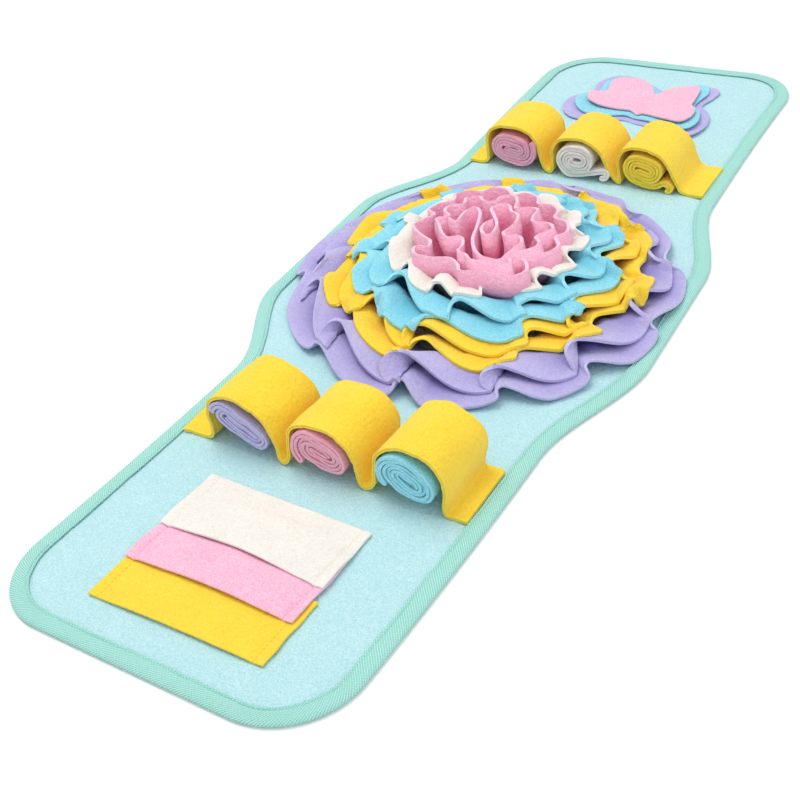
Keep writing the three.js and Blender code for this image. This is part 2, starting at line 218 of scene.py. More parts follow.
def stitchRow(name, path, normals, material, slot):
    length = np.linalg.norm(np.diff(path, axis=0), axis=1).sum()
    line = evenly(np.hstack([path, normals]), max(math.ceil(length / stitch["pitch"]), 2))[0]
    place, up = line[:, :3], line[:, 3:]
    up = up / np.linalg.norm(up, axis=1)[:, None]
    along = np.gradient(place, axis=0)
    along /= np.linalg.norm(along, axis=1)[:, None]
    side = np.cross(up, along)
    reach = np.linspace(-1, 1, stitch["rings"])
    girth = np.sqrt(np.clip(1.02 - reach ** 2, 0, 1))
    turn = np.arange(stitch["sides"]) * 2 * np.pi / stitch["sides"]
    arch = (1 - reach ** 2) * stitch["height"] * 0.5
    ringX = reach * stitch["length"] / 2
    offSide = girth[:, None] * np.cos(turn)[None] * stitch["width"] / 2
    offUp = girth[:, None] * np.sin(turn)[None] * stitch["height"] / 2 + arch[:, None]
    points = (
        place[:, None, None] + along[:, None, None] * ringX[None, :, None, None]
        + side[:, None, None] * offSide[None, :, :, None] + up[:, None, None] * offUp[None, :, :, None]
    )
    rings, sides = stitch["rings"], stitch["sides"]
    i = np.arange(rings - 1)[:, None]
    j = np.arange(sides)[None]
    nextSide = (j + 1) % sides
    ring, nextRing = i * sides, (i + 1) * sides
    quads = np.stack([nextRing + j, nextRing + nextSide, ring + nextSide, ring + j], -1).reshape(-1, 4)
    caps = np.array([[0, 1, 2, 3], [0, 3, 4, 5]])
    last = (rings - 1) * sides
    faces = np.vstack([quads, caps, last + caps[:, ::-1]])
    offset = np.arange(len(place))[:, None, None] * rings * sides
    obj = addObject(name, points, (faces[None] + offset).reshape(-1, 4))
    return finishPiece(obj, [material], slot)


# Materials.

def linear(hexColour):                      # sRGB hex to linear colour
    value = np.array([int(hexColour[i:i + 2], 16) for i in (1, 3, 5)]) / 255
    value = np.where(value <= 0.04045, value / 12.92, ((value + 0.055) / 1.055) ** 2.4)
    return (*value, 1.0)


def newGroup(name, **inputs):               # a group of nodes that gives a colour and a height
    group = bpy.data.node_groups.new(name, "ShaderNodeTree")
    kinds = {1: "NodeSocketFloat", 3: "NodeSocketVector", 4: "NodeSocketColor"}
    for label, value in inputs.items():
        socket = group.interface.new_socket(label, in_out="INPUT", socket_type=kinds[np.size(value)])
        socket.default_value = value
    group.interface.new_socket("Colour", in_out="OUTPUT", socket_type="NodeSocketColor")
    group.interface.new_socket("Height", in_out="OUTPUT", socket_type="NodeSocketFloat")
    return group, group.nodes.new("NodeGroupInput"), group.nodes.new("NodeGroupOutput")


def mathNode(tree, operation, a, b=None, clamp=False):
    node = tree.nodes.new("ShaderNodeMath")
    node.operation = operation
    node.use_clamp = clamp
    for socket, value in zip(node.inputs, (a, b)):
        if value is None:
            continue
        if isinstance(value, bpy.types.NodeSocket):
            tree.links.new(value, socket)
        else:
            socket.default_value = value
    return node.outputs[0]


def times(tree, a, b):
    return mathNode(tree, "MULTIPLY", a, b)


def plus(tree, a, b, clamp=False):
    return mathNode(tree, "ADD", a, b, clamp)


def halfWave(tree, angle):                  # a sine moved to run from 0 to 1
    return plus(tree, times(tree, mathNode(tree, "SINE", angle), 0.5), 0.5)


def mixColour(tree, share, a, b):
    node = tree.nodes.new("ShaderNodeMix")
    node.data_type = "RGBA"
    node.clamp_factor = True
    for label, value in (("Factor_Float", share), ("A_Color", a), ("B_Color", b)):
        socket = next(s for s in node.inputs if s.identifier == label)
        if isinstance(value, bpy.types.NodeSocket):
            tree.links.new(value, socket)
        else:
            socket.default_value = value
    return next(s for s in node.outputs if s.identifier == "Result_Color")


def noiseNode(tree, vector, scale, detail=2.0, roughness=0.5):
    node = tree.nodes.new("ShaderNodeTexNoise")
    node.inputs["Detail"].default_value = detail
    node.inputs["Roughness"].default_value = roughness
    tree.links.new(vector, node.inputs["Vector"])
    if isinstance(scale, bpy.types.NodeSocket):
        tree.links.new(scale, node.inputs["Scale"])
    else:
        node.inputs["Scale"].default_value = scale
    return node.outputs["Fac"]


def rangeNode(tree, value, low, high, toLow=0.0, toHigh=1.0):
    node = tree.nodes.new("ShaderNodeMapRange")
    node.clamp = True
    tree.links.new(value, node.inputs["Value"])
    for label, number in (("From Min", low), ("From Max", high), ("To Min", toLow), ("To Max", toHigh)):
        node.inputs[label].default_value = number
    return node.outputs["Result"]


white = (1, 1, 1, 1)
grey = (0.5, 0.5, 0.5, 1)

# Brushed fleece: fine nap over pea-sized pebbles over slow clouds of tone.
napLook = dict(
    pebbleScale=0.36, cloudScale=0.045,     # as shares of the nap's own scale
    paleRange=(0.41, 0.6), dimRange=(0.25, 0.5), dimmest=0.22, cloudRange=(0.3, 0.7), cloudShare=0.12,
    napHeight=0.45, pebbleHeight=0.9,
)


def makeFleeceNap():
    group, given, out = newGroup("fleeceNap", Face=white, Pale=white, Deep=grey, Nap=700.0, Mottle=0.5,
                                 Coordinates=(0, 0, 0))
    where, scale, mottle, deep = (given.outputs[k] for k in ("Coordinates", "Nap", "Mottle", "Deep"))
    nap = noiseNode(group, where, scale, 3.0, 0.65)
    pebble = noiseNode(group, where, times(group, scale, napLook["pebbleScale"]))
    cloud = noiseNode(group, where, times(group, scale, napLook["cloudScale"]))
    paleShare = times(group, rangeNode(group, nap, *napLook["paleRange"]), mottle)
    colour = mixColour(group, paleShare, given.outputs["Face"], given.outputs["Pale"])
    dim = rangeNode(group, pebble, *napLook["dimRange"], napLook["dimmest"], 0.0)
    colour = mixColour(group, times(group, dim, mottle), colour, deep)
    tone = rangeNode(group, cloud, *napLook["cloudRange"])
    colour = mixColour(group, times(group, tone, napLook["cloudShare"]), colour, deep)
    # Painted shade: a per-vertex attribute on the mesh darkens folds, hollows and roll insides towards the
    # deep tone.
    inFold = group.nodes.new("ShaderNodeAttribute")
    inFold.attribute_name = "paintedShade"
    colour = mixColour(group, inFold.outputs["Fac"], colour, deep)
    fine = times(group, nap, napLook["napHeight"])
    height = plus(group, fine, times(group, pebble, napLook["pebbleHeight"]))
    group.links.new(colour, out.inputs["Colour"])
    group.links.new(height, out.inputs["Height"])
    return group


# Twill tape: slanting ribs across the tape, crossed by a finer weave.
twillLook = dict(
    slope=1.15, fullTurn=6.2832, jitterScale=420.0, jitter=1.6, weaveTurns=12.0, fineScale=1800.0,
    ribShare=0.62, weaveShare=0.12, fineShare=0.26, weaveHeight=0.3,
)


def makeTwill():
    group, given, out = newGroup("twillTape", Light=white, Dark=grey, Rib=500.0, Coordinates=(0, 0, 0))
    where = given.outputs["Coordinates"]
    parts = group.nodes.new("ShaderNodeSeparateXYZ")
    group.links.new(where, parts.inputs[0])
    x, y = parts.outputs["X"], parts.outputs["Y"]
    slant = plus(group, x, times(group, y, twillLook["slope"]))
    turns = times(group, slant, given.outputs["Rib"])
    jitter = times(group, noiseNode(group, where, twillLook["jitterScale"]), twillLook["jitter"])
    rib = halfWave(group, plus(group, times(group, turns, twillLook["fullTurn"]), jitter))
    weave = halfWave(group, times(group, y, times(group, given.outputs["Rib"], twillLook["weaveTurns"])))
    fine = noiseNode(group, where, twillLook["fineScale"], roughness=0.6)
    coarse = times(group, rib, twillLook["ribShare"])
    share = plus(group, coarse, times(group, weave, twillLook["weaveShare"]))
    share = plus(group, share, times(group, fine, twillLook["fineShare"]), clamp=True)
    height = plus(group, rib, times(group, weave, twillLook["weaveHeight"]))
    colour = mixColour(group, share, given.outputs["Dark"], given.outputs["Light"])
    group.links.new(colour, out.inputs["Colour"])
    group.links.new(height, out.inputs["Height"])
    return group


def startMaterial(name, roughness, sheen):
    material = bpy.data.materials.new(name)
    material.use_nodes = True
    tree = material.node_tree
    shader = tree.nodes["Principled BSDF"]
    shader.inputs["Roughness"].default_value = roughness
    shader.inputs["Specular IOR Level"].default_value = 0.2
    shader.inputs["Sheen Weight"].default_value = sheen
    shader.inputs["Sheen Roughness"].default_value = 0.55
    shader.inputs["Sheen Tint"].default_value = white
    return material, tree, shader


def addBump(tree, shader, height, distance):
    bump = tree.nodes.new("ShaderNodeBump")
    bump.inputs["Distance"].default_value = distance * mm
    bump.inputs["Strength"].default_value = 1.0
    tree.links.new(height, bump.inputs["Height"])
    tree.links.new(bump.outputs["Normal"], shader.inputs["Normal"])


napGroup = makeFleeceNap()
twillGroup = makeTwill()


def clothMaterial(name, group, roughness, sheen, bump, **values):
    material, tree, shader = startMaterial(name, roughness, sheen)
    node = tree.nodes.new("ShaderNodeGroup")
    node.node_tree = group
    for label, value in values.items():
        node.inputs[label].default_value = value
    tree.links.new(node.outputs["Colour"], shader.inputs["Base Color"])
    addBump(tree, shader, node.outputs["Height"], bump)
    return material, tree, node.inputs["Coordinates"]


def fleece(name, face, pale, deep, nap=900.0, mottle=0.65, bump=1.4, sheen=0.2):
    material, tree, coordinates = clothMaterial(
        name, napGroup, 0.95, sheen, bump,
        Face=linear(face), Pale=linear(pale), Deep=linear(deep), Nap=nap, Mottle=mottle)
    tree.links.new(tree.nodes.new("ShaderNodeTexCoord").outputs["Object"], coordinates)
    return material


def twill(name, light, dark, rib=430.0):
    material, tree, coordinates = clothMaterial(
        name, twillGroup, 0.7, 0.1, 0.5, Light=linear(light), Dark=linear(dark), Rib=rib)
    place = tree.nodes.new("ShaderNodeUVMap")
    place.uv_map = "cloth"
    tree.links.new(place.outputs["UV"], coordinates)
    return material


# Face colour, paler nap, and a deeper tone used for the random mottle and for painted shade in folds and
# hollows.
fleeceColours = dict(
    aqua=("#b3dfe5", "#d8f6f8", "#93d3dd"),
    white=("#f3ede4", "#fffaf2", "#c9c2b4"),
    pink=("#ffb3d0", "#ffdfeb", "#ff7fb3"),
    rose=("#f2a3bb", "#fbc6d4", "#d4577f"),
    yellow=("#ffd92c", "#ffe65c", "#f4a900"),
    lilac=("#bcb3e4", "#d3cdf0", "#7a6cbc"),
    blue=("#88daec", "#b8effa", "#3fb0d0"),
)
fleeceSheen = dict(aqua=0.15)
threadColours = dict(
    mint=("#8fdccf", "#b4efe4", "#5fb8aa"),
    yellow=("#f8d53a", "#ffe468", "#d9a810"),
    white=("#f1ebdd", "#fffaf0", "#c9c2b2"),
    pink=("#f19cc4", "#ffc1db", "#d0619a"),
)
cloths = {}
for colourName, (face, pale, deep) in fleeceColours.items():
    cloths[colourName] = [
        fleece(colourName + "Fleece", face, pale, deep, sheen=fleeceSheen.get(colourName, 0.2)),
        # Rims take a paler copy with no fold shade: partly the paler fuzz of a cut edge, partly painted
        # highlight for light caught in the edges.
        fleece(colourName + "EdgeHighlight", face, pale, face, mottle=0.9, bump=0.5),
    ]
tapeCloth = twill("mintTwill", "#cef9f0", "#84d8ca")
threads = {}
for colourName, tones in threadColours.items():
    threads[colourName] = fleece(colourName + "Thread", *tones, nap=1500.0, bump=0.2, sheen=0.0)
print("materials made")


# Camera, floor and light.

view = dict(target=(12.4, -159.0, 0.0), azimuth=36.3, elevation=39.3, roll=-9.1, distance=874.0, lens=51.5)


def outward(azimuth, elevation):            # a direction from the mat; azimuth 0 is towards the pocket end
    a, e = math.radians(azimuth), math.radians(elevation)
    return Vector((math.sin(a) * math.cos(e), -math.cos(a) * math.cos(e), math.sin(e)))


def makeCamera():
    a, r = math.radians(view["azimuth"]), math.radians(view["roll"])
    back = outward(view["azimuth"], view["elevation"])
    level = Vector((math.cos(a), math.sin(a), 0))
    upright = back.cross(level)
    right = level * math.cos(r) + upright * math.sin(r)
    up = upright * math.cos(r) - level * math.sin(r)
    camera = bpy.data.objects.new("camera", bpy.data.cameras.new("camera"))
    camera.data.lens = view["lens"]
    camera.data.sensor_width = 36
    camera.data.clip_start = 0.02
    camera.data.clip_end = 50
    place = Vector(view["target"]) * mm + back * view["distance"] * mm
    turn = Matrix((right, up, back)).transposed().to_4x4()
    camera.matrix_world = Matrix.Translation(place) @ turn
    bpy.context.scene.collection.objects.link(camera)
    bpy.context.scene.camera = camera


studio = dict(floorReach=9000.0, floorDrop=0.2, floorColour=(0.93, 0.93, 0.93, 1),
              sky=(0.96, 0.98, 1.0, 1), skyPower=0.66)


def makeFloor():
    corners = np.array([[-1, -1, 0], [1, -1, 0], [1, 1, 0], [-1, 1, 0]]) * studio["floorReach"]
    floor = addObject("floor", corners - [0, 0, studio["floorDrop"]], [[0, 1, 2, 3]])
    material, tree, shader = startMaterial("paleFloor", 0.9, 0.0)
    shader.inputs["Base Color"].default_value = studio["floorColour"]
    floor.data.materials.append(material)


# Each lamp: place round the mat (azimuth as the camera's), elevation, distance, size, power.
lamps = dict(
    key=dict(azimuth=-100, elevation=72, distance=2200, size=1500, power=24.0, colour=(1.0, 0.99, 0.97)),
    fill=dict(azimuth=75, elevation=55, distance=2600, size=2400, power=14.0, colour=(0.98, 0.99, 1.0)),
)


def makeLamps():
    for name, lamp in lamps.items():
        back = outward(lamp["azimuth"], lamp["elevation"])
        light = bpy.data.objects.new(name, bpy.data.lights.new(name, "AREA"))
        light.data.shape = "DISK"
        light.data.size = lamp["size"] * mm
        light.data.energy = lamp["power"]
        light.data.color = lamp["colour"]
        light.location = back * lamp["distance"] * mm
        light.rotation_mode = "QUATERNION"
        light.rotation_quaternion = back.to_track_quat("Z", "Y")
        bpy.context.scene.collection.objects.link(light)
    world = bpy.data.worlds.new("studio")
    world.use_nodes = True
    world.node_tree.nodes["Background"].inputs["Color"].default_value = studio["sky"]
    world.node_tree.nodes["Background"].inputs["Strength"].default_value = studio["skyPower"]
    bpy.context.scene.world = world
    bpy.context.scene.view_settings.view_transform = "Standard"


makeCamera()
makeFloor()
makeLamps()
print("camera, floor and lamps placed")


# Base panel.

base = dict(
    rows=300, columns=110, inset=1.3, drop=0.2, crowding=0.35,      # crowding: rows closer at the two ends
    relief=0.35, reliefSize=90, fineRelief=0.12, fineSize=22, calmEdge=14, calmFade=8,
    sink=0.5, sinkWidth=5.0,
)


def roundedReach(side, y, inset):
    # How far the panel reaches to one side, drawn in round the corners by a quarter circle.
    past = np.clip(np.abs(y) - cornerStart, 0, None)
    radius = mat["corner"] - inset
    level = np.where(np.abs(y) > cornerStart, halfWidth(side, np.sign(y) * cornerStart), halfWidth(side, y))
    return level - inset - radius + np.sqrt(np.clip(radius ** 2 - past ** 2, 0, None))


def buildBase():
    # Rows run across the mat and shrink into the round corners; the face has slow soft lumps and sinks
    # a little beside the tape.
    reach = halfLength - base["inset"]
    y = np.sin(np.linspace(-np.pi / 2, np.pi / 2, base["rows"]))
    y = reach * (base["crowding"] * y + (1 - base["crowding"]) * np.linspace(-1, 1, base["rows"]))
    left, right = roundedReach("left", y, base["inset"]), roundedReach("right", y, base["inset"])
    v = np.linspace(0, 1, base["columns"])
    x = (left + right)[:, None] * v[None] - left[:, None]
    yy = np.broadcast_to(y[:, None], x.shape)
    sideDistance = np.minimum(x + left[:, None], right[:, None] - x)
    edgeDistance = np.minimum(sideDistance, reach - np.abs(yy))
    sink = -base["sink"] * np.exp(-((edgeDistance - mat["tapeWidth"]) / base["sinkWidth"]) ** 2)
    relief = base["relief"] * lumps(x, yy, 3, base["reliefSize"])
    relief = relief + base["fineRelief"] * lumps(x, yy, 4, base["fineSize"])
    inner = smoothStep((edgeDistance - base["calmEdge"]) / base["calmFade"])
    z = mat["top"] + sink + relief * inner - base["drop"]
    points = layOnMat(np.stack([x, yy, z], -1))
    points = points[:, ::-1]                # rows run along +Y and columns along -X, so faces look up
    obj = gridObject("basePanel", points, y, v[::-1] * 300)
    thicken(obj, mat["top"] - base["drop"], offset=-1.0, rounding=0)
    finishPiece(obj, cloths["aqua"], "aqua_fleece", "base_panel")


# Taped edge.

# Waves in width and height: [size, seed, lowest number of turns round the mat].
tape = dict(
    points=760, outlinePoints=1200, stitchInset=11.0, stitchHeight=3.95, crown=4.5, waveInset=12,
    widthWaves=[[0.45, 21, 7], [0.25, 22, 40]], heightWaves=[[0.22, 23, 18], [0.12, 24, 70]],
)


def outlinePath(count):
    # Straight ends, quarter-circle corners and smooth swells, anticlockwise, evenly spaced.
    y = halfLength * np.sin(np.linspace(-np.pi / 2, np.pi / 2, tape["outlinePoints"]))
    rightSide = np.stack([roundedReach("right", y, 0), y], 1)
    leftSide = np.stack([-roundedReach("left", y, 0), y], 1)[::-1]
    loop = np.vstack([rightSide, leftSide, rightSide[:1]])
    line, total = evenly(loop, count + 1)
    return line[:-1], total


def outlineOffset(line, inset):
    along = np.roll(line, -1, 0) - np.roll(line, 1, 0)
    along /= np.linalg.norm(along, axis=1)[:, None]
    inset = np.broadcast_to(inset, len(line))[:, None]
    return line + np.stack([-along[:, 1], along[:, 0]], 1) * inset


# Side view of the folded tape: [inset from the outer edge, height], from the upper inner edge round the
# outside to the lower inner edge and back along the inside.
tapeSection = [
    [13.2, 3.7], [12.9, 4.3], [12.2, 4.5], [11.6, 4.4], [11.0, 3.9], [10.4, 4.3], [9.0, 4.5], [6.5, 4.6],
    [4.0, 4.45], [1.9, 4.1], [0.6, 3.3], [0.1, 2.2], [0.5, 1.0], [1.6, 0.2], [3.5, 0.0], [8.0, 0.0],
    [12.8, 0.0], [12.8, 0.7], [3.0, 0.8], [1.5, 2.0], [2.4, 3.5], [7.0, 3.9], [12.8, 3.3],
]


def buildTape():
    line, total = outlinePath(tape["points"])
    share = np.arange(len(line)) / len(line)
    widthWave, heightWave = (sum(size * wander(share, seed, turns) for size, seed, turns in tape[waves])
                             for waves in ("widthWaves", "heightWaves"))
    rings = []
    for inset, height in tapeSection:
        inward = min(inset, tape["waveInset"]) / tape["waveInset"]
        lift = heightWave * min(height / tape["crown"], 1.0) * (0.3 + 0.7 * inward)
        flat = outlineOffset(line, inset + widthWave * (inset / mat["tapeWidth"]))
        rings.append(np.column_stack([flat, height + lift]))
    points = layOnMat(np.stack(rings, 1))
    rows, section = points.shape[:2]
    closed = np.array(tapeSection + tapeSection[:1])
    across = np.concatenate([[0], np.cumsum(np.linalg.norm(np.diff(closed, axis=0), axis=1))])
    i = np.arange(rows)[:, None]
    j = np.arange(section)[None]
    nextColumn = (j + 1) % section
    ring, nextRing = i * section, (i + 1) % rows * section
    corners = [ring + j, ring + nextColumn, nextRing + nextColumn, nextRing + j]
    faces = np.stack(np.broadcast_arrays(*corners), -1).reshape(-1, 4)
    u = np.arange(rows + 1) * total / rows
    pairs = [(u[i], across[j]), (u[i], across[j + 1]), (u[i + 1], across[j + 1]), (u[i + 1], across[j])]
    uv = np.stack([np.stack(np.broadcast_arrays(*pair), -1) for pair in pairs], 2)
    obj = addObject("edgeBinding", points, faces, uv)
    finishPiece(obj, [tapeCloth], "mint_tape", "edge_binding")
    seam = outlineOffset(line, tape["stitchInset"])
    seam = np.column_stack([seam, np.full(len(seam), tape["stitchHeight"])])
    seam = layOnMat(np.vstack([seam, seam[:1]]))
    upward = np.tile([0, 0, 1.0], (len(seam), 1))
    stitches = stitchRow("bindingStitches", seam, upward, threads["mint"], "mint_tape")


buildBase()
buildTape()
print("base and taped edge built")


# Pockets.

# Side view of each strip from its free edge to its far seam: [distance along the mat, height of its
# lower face above the panel].
pockets = dict(
    yellow=dict(nearY=-413.0, centre=4.5, width=142.0, puff=1.3, lift=0.2, bow=0.3, seed=31, skew=1.0,
                side=[[0, 0.3], [10, 0.4], [22, 0.5], [38, 0.3], [56, 0.2]]),
    pink=dict(nearY=-378.5, centre=3.0, width=139.0, puff=2.9, lift=0.2, bow=1.2, seed=32, skew=0.0,
              side=[[0, 2.9], [8, 3.0], [18, 3.0], [30, 1.4], [40, 0.6], [58, 0.3]]),
    white=dict(nearY=-345.5, centre=3.5, width=139.0, puff=3.3, lift=0.5, bow=2.2, seed=33, skew=-1.5,
               side=[[0, 3.1], [8, 3.3], [18, 3.2], [30, 1.8], [42, 0.6], [56, 0.3]]),
)
# calmFrom and calmSpan: the share of a pocket's length where its puff starts to die, and over how much more.
pocketCloth = dict(
    thickness=1.9, seamInset=7.5, columns=150, rows=60, calmFrom=0.45, calmSpan=0.52, lip=13.0,
    groove=0.9, grooveWidth=1.6, wrinkle=0.5, wrinkleSize=46, hem=0.5, hemSize=30, hemSlope=0.07, clear=0.1,
)


def buildPocket(colour, pocket):
    # Height from the side view, plus a puff between the side seams that dies towards the far seam, plus
    # shallow wrinkles that run from the seams; the free edge stands open in the middle.
    width = pocket["width"]
    inset = pocketCloth["seamInset"] / width
    u = np.linspace(0, 1, pocketCloth["columns"])
    fromEdge = np.minimum(u, 1 - u)
    side, length = evenly(smoothCurve(pocket["side"]), pocketCloth["rows"])
    along, height = side[:, 0], side[:, 1]
    t = (along / along[-1])[:, None]
    arch = np.sin(np.pi * np.clip((u - inset) / (1 - 2 * inset), 0, 1))
    puffShape = arch ** 0.55 * (u > inset) * (u < 1 - inset)
    fading = 1 - smoothStep((t - pocketCloth["calmFrom"]) / pocketCloth["calmSpan"])
    lip = arch ** 1.4 * np.exp(-(along / pocketCloth["lip"])[:, None] ** 1.5)
    puff = pocket["puff"] * puffShape[None] * fading + pocket["lift"] * lip
    bow = pocket["bow"] * arch ** 2 * (1 - t) ** 1.5
    x = np.tile(pocket["centre"] + width * (u - 0.5), (len(along), 1))
    y = pocket["nearY"] + along[:, None] + bow + pocket["skew"] * (u[None] - 0.5) * 2
    groove = pocketCloth["groove"] * np.exp(-((fromEdge - inset) * width / pocketCloth["grooveWidth"]) ** 2)
    wrinkle = lumps(x, y * 1.9, pocket["seed"], pocketCloth["wrinkleSize"])
    wrinkle = pocketCloth["wrinkle"] * wrinkle * puffShape
    outside = np.clip(inset - fromEdge, 0, None) * width
    x += pocketCloth["hem"] * lumps(x, y, pocket["seed"] + 9, pocketCloth["hemSize"]) * (fromEdge < inset)
    z = mat["top"] + height[:, None] + puff + wrinkle - groove + pocketCloth["hemSlope"] * outside
    z = np.maximum(z, mat["top"] + pocketCloth["clear"]) + pocketCloth["thickness"] / 2
    points = layOnMat(np.stack([x, y, z], -1)).transpose(1, 0, 2)
    name = camelName("pocket_" + colour)
    obj = gridObject(name, points, u * width, along)
    thicken(obj, pocketCloth["thickness"], rounding=0.5)
    finishPiece(obj, cloths[colour], colour + "_fleece", "pocket_" + colour)
    seams = []
    for index in (np.argmin(abs(u - inset)), np.argmin(abs(u - 1 + inset))):
        path = (points[index] + [0, 0, pocketCloth["thickness"] / 2])[1:-1]
        upward = np.tile([0, 0, 1.0], (len(path), 1))
        seams.append(stitchRow(f"{name}Seam{len(seams)}", path, upward, threads[colour], colour + "_fleece"))


for colourName, pocket in pockets.items():
    buildPocket(colourName, pocket)
print("pockets built")


# Straps.

# Front view of each strap, left to right, as points of its middle line: [across the mat, height].
nearStrap = dict(
    frontY=-257.0, name="near", seed=41, lean=4.0,
    line=[
        [-119, 4.9], [-109, 4.9], [-98, 5.0], [-91, 8], [-88.5, 18], [-88.5, 32], [-84, 43.5], [-74, 50.5],
        [-63, 52.2], [-51, 48.5], [-39, 41.5], [-32, 31], [-29.6, 19], [-28.2, 10], [-25, 5.4], [-21, 8],
        [-18, 16], [-16.8, 28], [-14, 39], [-6, 46], [6, 49.2], [18, 49.2], [28.5, 45.5], [35.8, 38],
        [39.2, 27], [40, 15], [41.4, 8], [44.5, 5.4], [49.5, 8], [53.5, 15], [55.4, 27], [58.5, 39],
        [65, 48.5], [76, 53.6], [88, 54], [99, 49.6], [107, 41], [110, 29], [109.3, 16], [109, 8.5],
        [110.5, 5.6], [114, 4.9], [125.5, 4.9],
    ],
)
farStrap = dict(
    frontY=188.0, name="far", seed=42, lean=2.0,
    line=[
        [-109.5, 4.9], [-103, 4.9], [-95, 5.0], [-90.5, 8], [-89.6, 18], [-90, 30], [-86, 39.5], [-76, 45],
        [-64, 46.6], [-53, 46], [-43, 41], [-36, 32], [-33.4, 20], [-30, 9.5], [-24.5, 5.4], [-21, 8.5],
        [-20.2, 18], [-20.2, 29], [-15, 38.5], [-4, 43], [9, 43.4], [20, 39.5], [29.5, 31], [35.6, 19],
        [41, 9.5], [46.5, 5.4], [48, 9], [46.6, 18], [46, 29], [50.5, 38.5], [61, 43.6], [73, 43.4],
        [85, 39], [94, 30], [100, 18], [105.5, 8], [112, 5.0], [118, 4.9], [127, 4.9],
    ],
)
strapCloth = dict(
    width=54.0, ply=1.4, split=0.76, topstitch=3.2, rows=340, columns=40, clear=0.3,
    seamEnd=4, sunkThread=0.15,
    pinch=0.35, pinchWidth=1.2, swell=0.25, swellFrom=4.0, swellSpan=8.0,     # thickness across the strap
    sewnHeight=6.0, riseSpan=34.0, ripple=0.5, rippleSize=34,                 # the arches above the base
)


def strapSurface(strap, lift):
    # The middle line is moved along its own normal by lift, and carried back across the strap; the top
    # leans over to the right towards the back edge, and the cut edges wander a little.
    flat, length = evenly(smoothCurve(strap["line"], 8), strapCloth["rows"])
    along = np.gradient(flat, axis=0)
    along /= np.linalg.norm(along, axis=1)[:, None]
    normal = np.stack([-along[:, 1], along[:, 0]], 1)
    share = np.linspace(0, 1, len(flat))
    v = np.linspace(0, 1, strapCloth["columns"])
    v = 0.5 - 0.5 * np.cos(np.pi * v) * (0.8 + 0.2 * np.cos(np.pi * v) ** 2)
    fromEdge = np.minimum(v, 1 - v) * strapCloth["width"]
    pinch = np.exp(-((fromEdge - strapCloth["topstitch"]) / strapCloth["pinchWidth"]) ** 2)
    swell = smoothStep((fromEdge - strapCloth["swellFrom"]) / strapCloth["swellSpan"])
    body = 1 + strapCloth["swell"] * swell - strapCloth["pinch"] * pinch
    height = smoothStep((flat[:, 1:] - strapCloth["sewnHeight"]) / strapCloth["riseSpan"])
    place = share[:, None] * length, v[None] * strapCloth["width"]
    ripple = lumps(*place, strap["seed"], strapCloth["rippleSize"])
    offset = lift * body[None] + strapCloth["ripple"] * ripple * height
    x = flat[:, :1] + normal[:, :1] * offset + strap["lean"] * height * v[None]
    z = flat[:, 1:] + normal[:, 1:] * offset
    edgeWander = 0.9 * wander(share, strap["seed"] + 5, 5) + 0.4 * wander(share, strap["seed"] + 6, 17)
    backWander = 0.8 * wander(share, strap["seed"] + 7, 6)
    y = strap["frontY"] + v[None] * strapCloth["width"] + edgeWander[:, None] * (1 - v[None])
    y = y + backWander[:, None] * v[None]
    z = np.maximum(z, mat["top"] + strapCloth["clear"])
    return layOnMat(np.stack([x, y, z], -1)), length, v, normal


def buildStrap(strap):
    for side, lift in (("Upper", strapCloth["split"]), ("Lower", -strapCloth["split"])):
        points, length, v, normal = strapSurface(strap, lift)
        name = strap["name"] + "Strap" + side
        obj = gridObject(name, points, np.linspace(0, length, len(points)), v * strapCloth["width"])
        thicken(obj, strapCloth["ply"], rounding=0.45)
        if side == "Upper":
            finishPiece(obj, cloths["yellow"], "yellow_fleece", strap["name"] + "_loop_strip")
            upNormal = np.column_stack([normal[:, 0], np.zeros(len(normal)), normal[:, 1]])
            column = np.argmin(abs(v * strapCloth["width"] - strapCloth["topstitch"]))
            sewn = slice(strapCloth["seamEnd"], -strapCloth["seamEnd"])
            path = points[sewn, column] + upNormal[sewn] * (strapCloth["ply"] / 2 - strapCloth["sunkThread"])
            stitchRow(name + "Seam", path, upNormal[sewn], threads["yellow"], "yellow_fleece")
        else:
            finishPiece(obj, cloths["yellow"], "yellow_fleece")


buildStrap(nearStrap)
buildStrap(farStrap)
print("straps built")


# Rolls.

